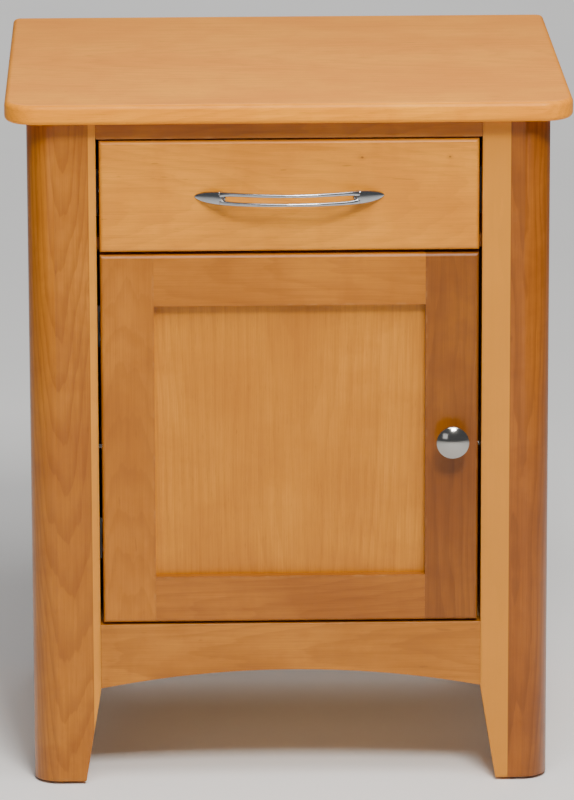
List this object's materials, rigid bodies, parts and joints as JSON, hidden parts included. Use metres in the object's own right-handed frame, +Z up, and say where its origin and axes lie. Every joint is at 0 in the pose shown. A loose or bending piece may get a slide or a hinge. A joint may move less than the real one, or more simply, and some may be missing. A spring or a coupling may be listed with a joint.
{
  "type": "bedside cabinet",
  "caption": "Wooden bedside cabinet with an inset drawer, an inset framed door, post legs, arched apron and metal handles.",
  "frame": {"origin": "on the floor, under the middle of the whole cabinet with its handles", "axes": "+Z up, +X to the right seen from the front, +Y towards the back; the drawer and door face -Y"},
  "size_m": [0.53, 0.462, 0.664],
  "materials": {
    "top_wood": "satin clear lacquer over a honey stain",
    "case_wood": "satin clear lacquer over a honey stain",
    "front_wood": "satin clear lacquer over a honey stain",
    "panel_wood": "satin clear lacquer over a honey stain",
    "drawer_box_wood": "clear lacquer",
    "plywood": "clear lacquer",
    "chrome": "polished",
    "satin_nickel": "satin",
    "zinc_steel": "bright zinc plate",
    "screw_steel": "zinc plate",
    "nylon": "moulded",
    "brown_plastic": "moulded",
    "magnet": "sintered"
  },
  "bodies": {
    "case": {"top_slab": "top_wood", "front_left_leg": "case_wood", "front_right_leg": "case_wood", "rear_left_leg": "case_wood", "rear_right_leg": "case_wood", "front_top_rail": "case_wood", "front_apron": "case_wood", "divider_rail": "case_wood", "rear_top_rail": "case_wood", "rear_bottom_rail": "case_wood", "left_side_top_rail": "case_wood", "left_side_bottom_rail": "case_wood", "left_side_panel": "panel_wood", "right_side_top_rail": "case_wood", "right_side_bottom_rail": "case_wood", "right_side_panel": "panel_wood", "back_panel": "plywood", "cabinet_floor": "plywood", "dust_panel": "plywood", "floor_cleats": "drawer_box_wood", "dust_panel_cleats": "drawer_box_wood", "adjustable_shelf": "plywood", "shelf_pins": "screw_steel", "foot_glides": "nylon", "top_brackets": "zinc_steel", "left_slide_case_member": "zinc_steel", "right_slide_case_member": "zinc_steel", "upper_hinge_arm": "zinc_steel", "lower_hinge_arm": "zinc_steel", "upper_hinge_plate": "zinc_steel", "lower_hinge_plate": "zinc_steel", "catch_housing": "brown_plastic", "catch_magnet": "magnet", "case_screws": "screw_steel"},
    "drawer": {"drawer_front": "front_wood", "drawer_box_front": "drawer_box_wood", "drawer_left_side": "drawer_box_wood", "drawer_right_side": "drawer_box_wood", "drawer_back": "drawer_box_wood", "drawer_bottom": "plywood", "drawer_pull": "chrome", "drawer_pull_screws": "screw_steel", "drawer_screws": "screw_steel", "left_slide_drawer_member": "zinc_steel", "right_slide_drawer_member": "zinc_steel"},
    "left_slide_middle": {"left_slide_middle_member": "zinc_steel"},
    "right_slide_middle": {"right_slide_middle_member": "zinc_steel"},
    "door": {"door_hinge_stile": "front_wood", "door_latch_stile": "front_wood", "door_top_rail": "front_wood", "door_bottom_rail": "front_wood", "door_panel": "panel_wood", "door_knob": "satin_nickel", "door_knob_screw": "screw_steel", "upper_hinge_cup": "zinc_steel", "lower_hinge_cup": "zinc_steel", "upper_hinge_pin": "zinc_steel", "lower_hinge_pin": "zinc_steel", "door_screws": "screw_steel", "catch_strike_plate": "zinc_steel"}
  },
  "joints": [
    {"name": "drawer_slide", "type": "slide", "parent": "case", "child": "drawer", "axis": [0, -1, 0], "range_m": [0, 0.34]},
    {"name": "left_slide_middle_run", "type": "slide", "parent": "case", "child": "left_slide_middle", "axis": [0, -1, 0], "range_m": [0, 0.17]},
    {"name": "right_slide_middle_run", "type": "slide", "parent": "case", "child": "right_slide_middle", "axis": [0, -1, 0], "range_m": [0, 0.17]},
    {"name": "door_swing", "type": "hinge", "parent": "case", "child": "door", "pos_m": [-0.1635, -0.1945, 0.3385], "axis": [0, 0, -1], "range_deg": [0, 95]}
  ],
  "couplings": [
    {"joint": "left_slide_middle_run", "follows": "drawer_slide", "ratio": 0.5},
    {"joint": "right_slide_middle_run", "follows": "drawer_slide", "ratio": 0.5}
  ]
}
